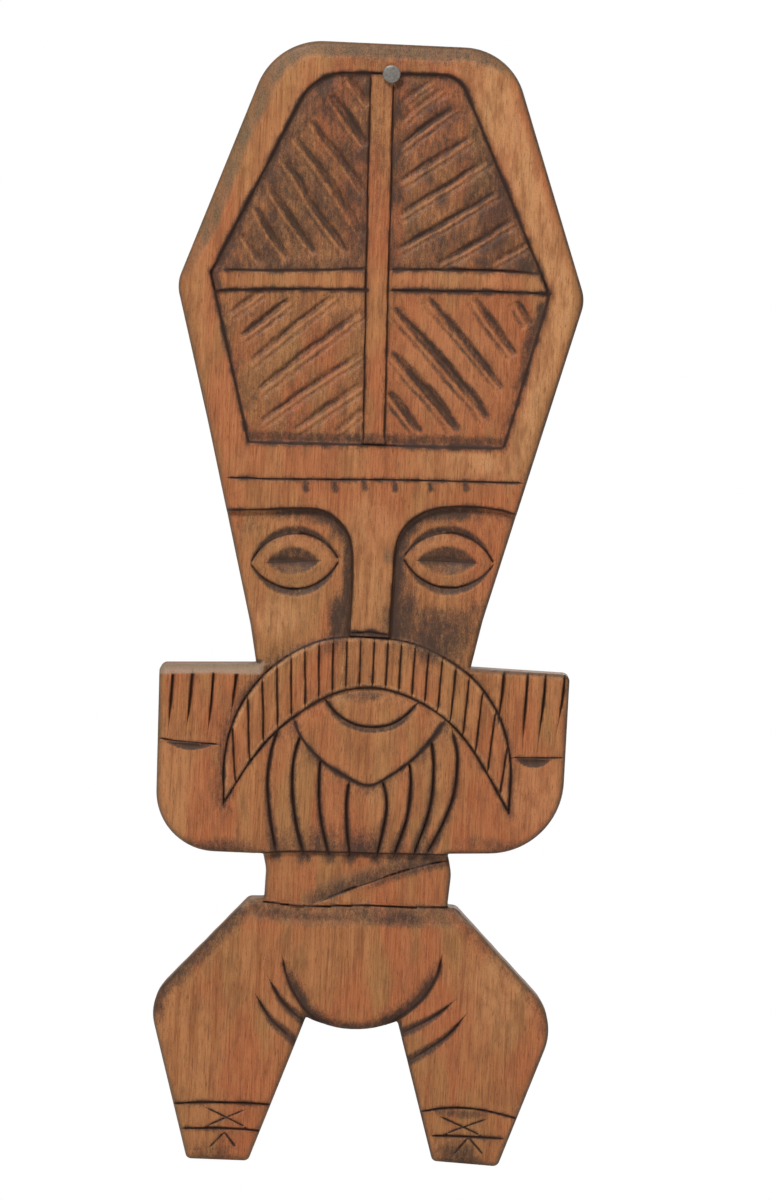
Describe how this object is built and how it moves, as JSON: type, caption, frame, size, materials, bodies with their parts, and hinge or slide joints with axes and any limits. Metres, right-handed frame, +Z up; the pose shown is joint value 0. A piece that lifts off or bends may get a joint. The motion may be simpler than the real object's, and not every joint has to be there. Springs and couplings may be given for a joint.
{
  "type": "fertility doll",
  "caption": "Wooden figure carved in low relief, with a tall hat, moustache, beard, raised hands and squat legs, hung loose on a wire nail through the top of its hat.",
  "frame": {"origin": "on the nail's axis, where it enters the wall behind the board", "axes": "+X to the viewer's right as the figure is faced, +Y into the wall, +Z up; the figure faces -Y and hangs down from the nail"},
  "size_m": [0.1366, 0.0397, 0.3744],
  "materials": {
    "carved_wood": "hand-carved hardwood with a soft wax sheen, dark stain rubbed into the cuts",
    "nail_steel": "dull galvanised steel wire nail"
  },
  "bodies": {
    "nail": {"hanging_nail": "nail_steel"},
    "figure": {"carved_board": "carved_wood"}
  },
  "joints": [
    {"name": "board_swing", "type": "hinge", "parent": "nail", "child": "figure", "pos_m": [0, 0, 0], "axis": [0, 1, 0], "continuous": true}
  ]
}
